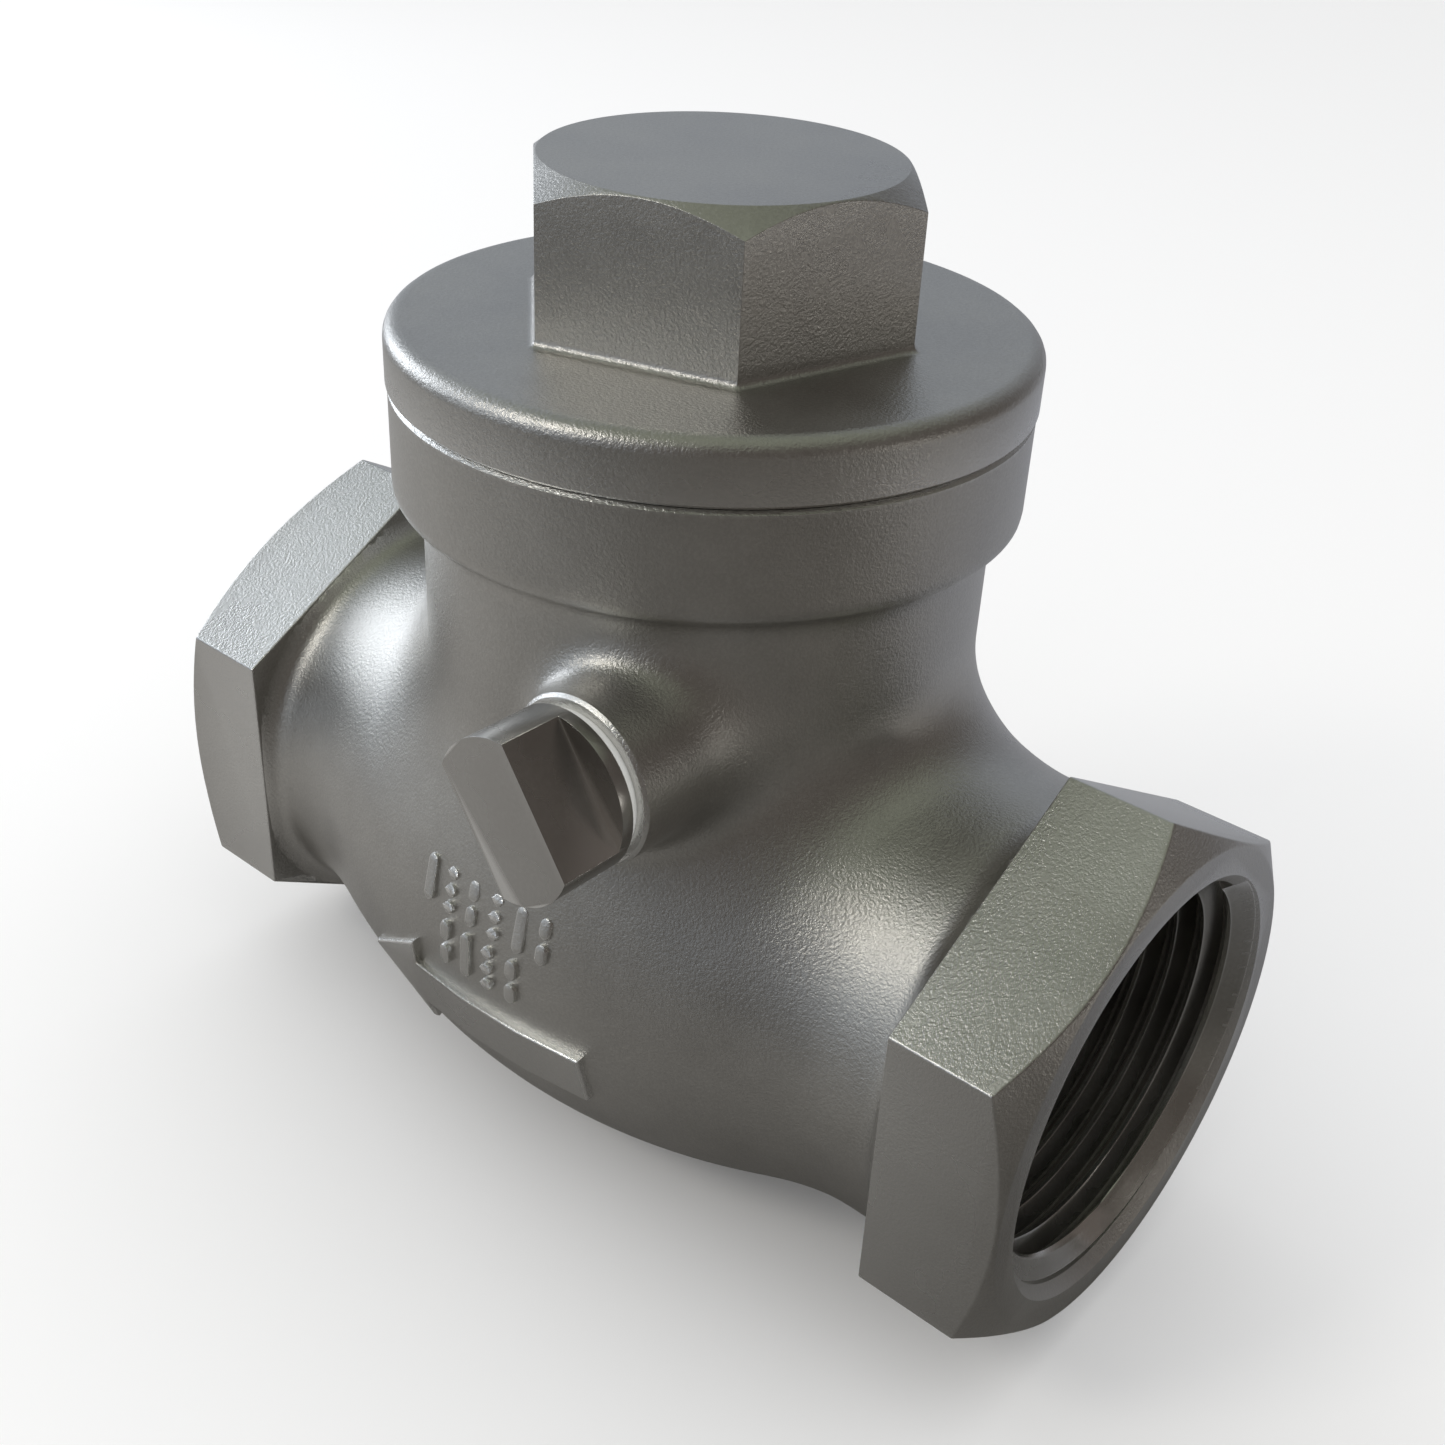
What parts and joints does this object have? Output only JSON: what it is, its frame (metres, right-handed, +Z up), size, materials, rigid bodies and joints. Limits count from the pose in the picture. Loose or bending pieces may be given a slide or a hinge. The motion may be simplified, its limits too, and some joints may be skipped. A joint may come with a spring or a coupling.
{
  "type": "swing check valve",
  "caption": "Cast stainless swing check valve with hexagonal threaded ends, a screwed hexagon cap, a side-plugged hinge pin and a hanging disc.",
  "frame": {"origin": "middle of the small flat under the barrel, straight below the neck and cap", "axes": "+X along the pipe from the outlet end to the inlet end, +Z up through the cap, -Y towards the hinge pin's plug"},
  "size_m": [0.09, 0.0569, 0.0838],
  "materials": {
    "cast_stainless": "bead-blasted satin",
    "machined_stainless": "machined",
    "ptfe": "satin"
  },
  "bodies": {
    "casting": {"valve_body": "cast_stainless", "hinge_pin": "machined_stainless"},
    "cap_seal": {"cap_gasket": "ptfe"},
    "screwed_cap": {"cap": "cast_stainless"},
    "plug_seal": {"pin_plug_gasket": "ptfe"},
    "plug": {"pin_plug": "machined_stainless"},
    "arm": {"swing_arm": "cast_stainless"},
    "clapper": {"disc": "machined_stainless", "disc_washer": "machined_stainless", "disc_nut": "machined_stainless", "disc_split_pin": "machined_stainless"}
  },
  "joints": [
    {"name": "arm_swing", "type": "hinge", "parent": "casting", "child": "arm", "pos_m": [0.0104, 0, 0.0472], "axis": [0, 1, 0], "range_deg": [0, 55]},
    {"name": "disc_spin", "type": "hinge", "parent": "arm", "child": "clapper", "pos_m": [0.0067, 0, 0.0242], "axis": [1, 0, 0], "continuous": true},
    {"name": "cap_lift", "type": "slide", "parent": "casting", "child": "cap_seal", "axis": [0, 0, 1], "range_m": [0, 0.00905]},
    {"name": "cap_turn", "type": "hinge", "parent": "cap_seal", "child": "screwed_cap", "pos_m": [0, 0, 0.0673], "axis": [0, 0, 1], "range_deg": [0, 2160]},
    {"name": "plug_withdraw", "type": "slide", "parent": "casting", "child": "plug_seal", "axis": [0, -1, 0], "range_m": [0, 0.00685]},
    {"name": "plug_turn", "type": "hinge", "parent": "plug_seal", "child": "plug", "pos_m": [0.0104, -0.0247, 0.0472], "axis": [0, -1, 0], "range_deg": [0, 2700]}
  ],
  "couplings": [
    {"joint": "cap_lift", "follows": "cap_turn", "m_per_rad": 0.00023873},
    {"joint": "plug_withdraw", "follows": "plug_turn", "m_per_rad": 0.00014435}
  ]
}
